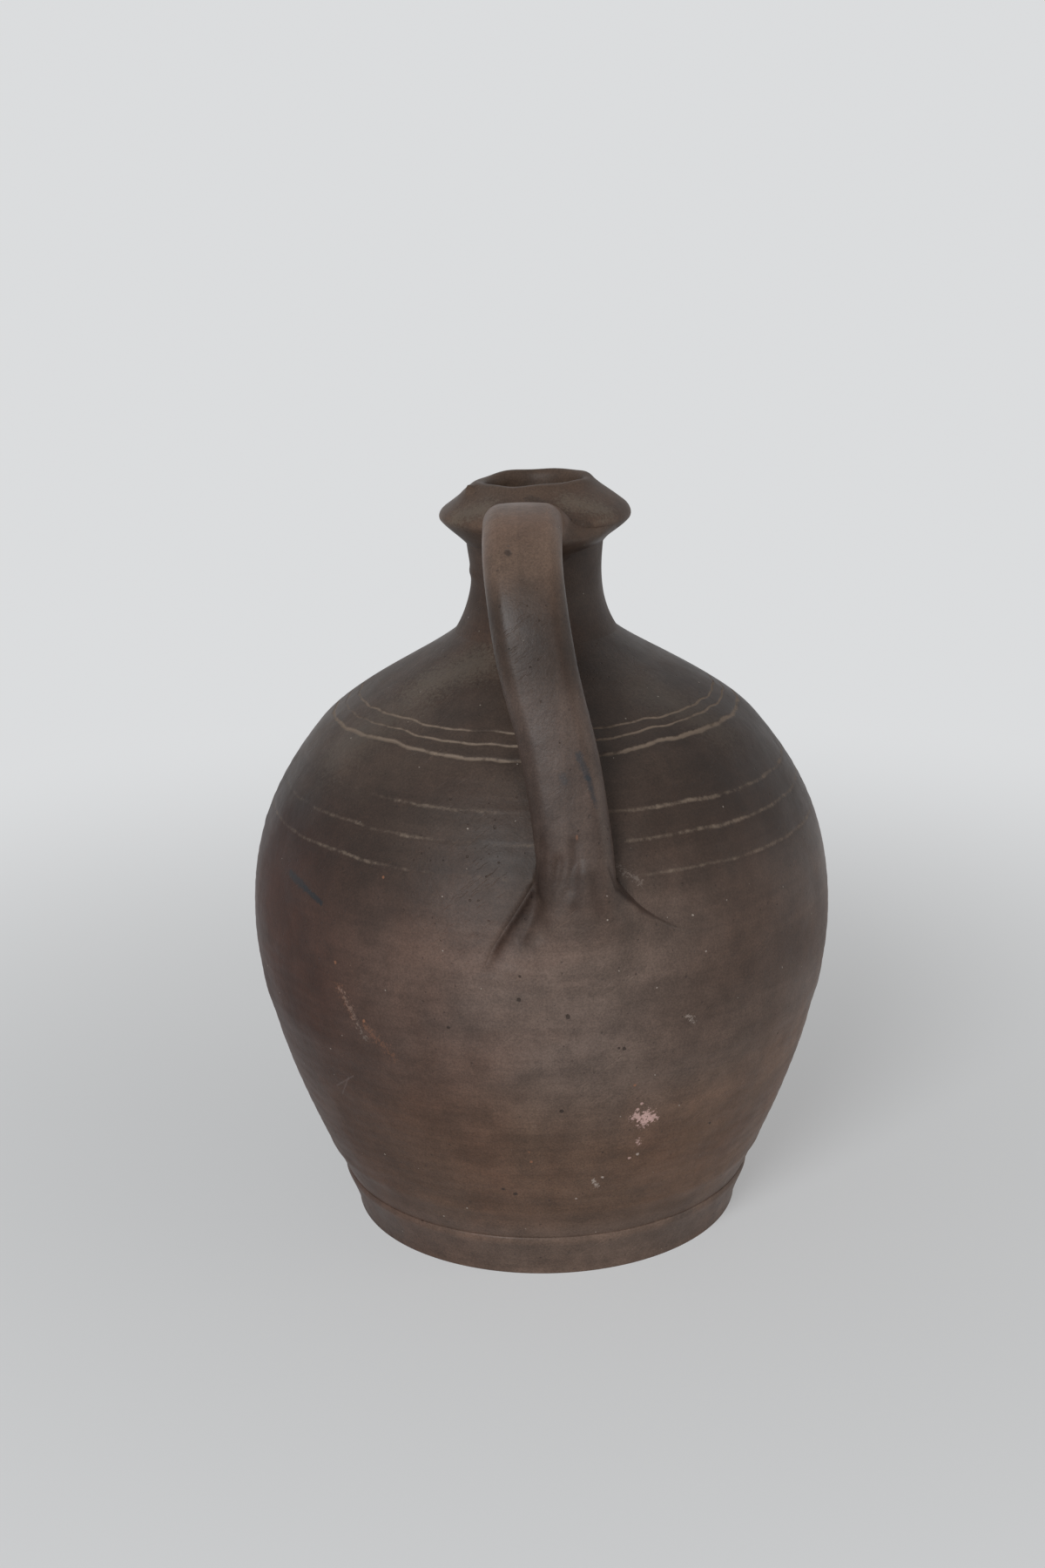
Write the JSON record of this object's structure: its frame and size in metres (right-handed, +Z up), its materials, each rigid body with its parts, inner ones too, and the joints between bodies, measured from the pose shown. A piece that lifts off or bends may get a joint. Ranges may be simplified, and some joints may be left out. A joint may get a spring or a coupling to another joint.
{
  "type": "oil jug",
  "caption": "Round-bellied clay jug for oil, with a banded foot, cut lines on the shoulder, a short neck under a double-cone mouth ring, and one broad strap handle.",
  "frame": {"origin": "centre of the flat underside, on the jug's turning axis", "axes": "+Z up along the turning axis, -Y towards the handle, +X to the right when the handle faces the viewer"},
  "size_m": [0.2246, 0.2266, 0.2907],
  "materials": {
    "clay_foot": "smoke-fired clay, burnished and worn, soft sheen",
    "clay_belly": "smoke-fired clay, wiped smooth, low sheen",
    "clay_shoulder": "smoke-fired clay, darker, wiped smooth, low sheen",
    "clay_neck": "smoke-fired clay, scuffed, low sheen",
    "clay_handle": "smoke-fired clay, rubbed smooth by hands, soft sheen"
  },
  "bodies": {
    "root": {"foot_base": "clay_foot", "belly_wall": "clay_belly", "shoulder_wall": "clay_shoulder", "neck": "clay_neck", "collar": "clay_neck", "handle_strap": "clay_handle", "upper_handle_root": "clay_handle", "lower_handle_root": "clay_belly"}
  },
  "joints": []
}
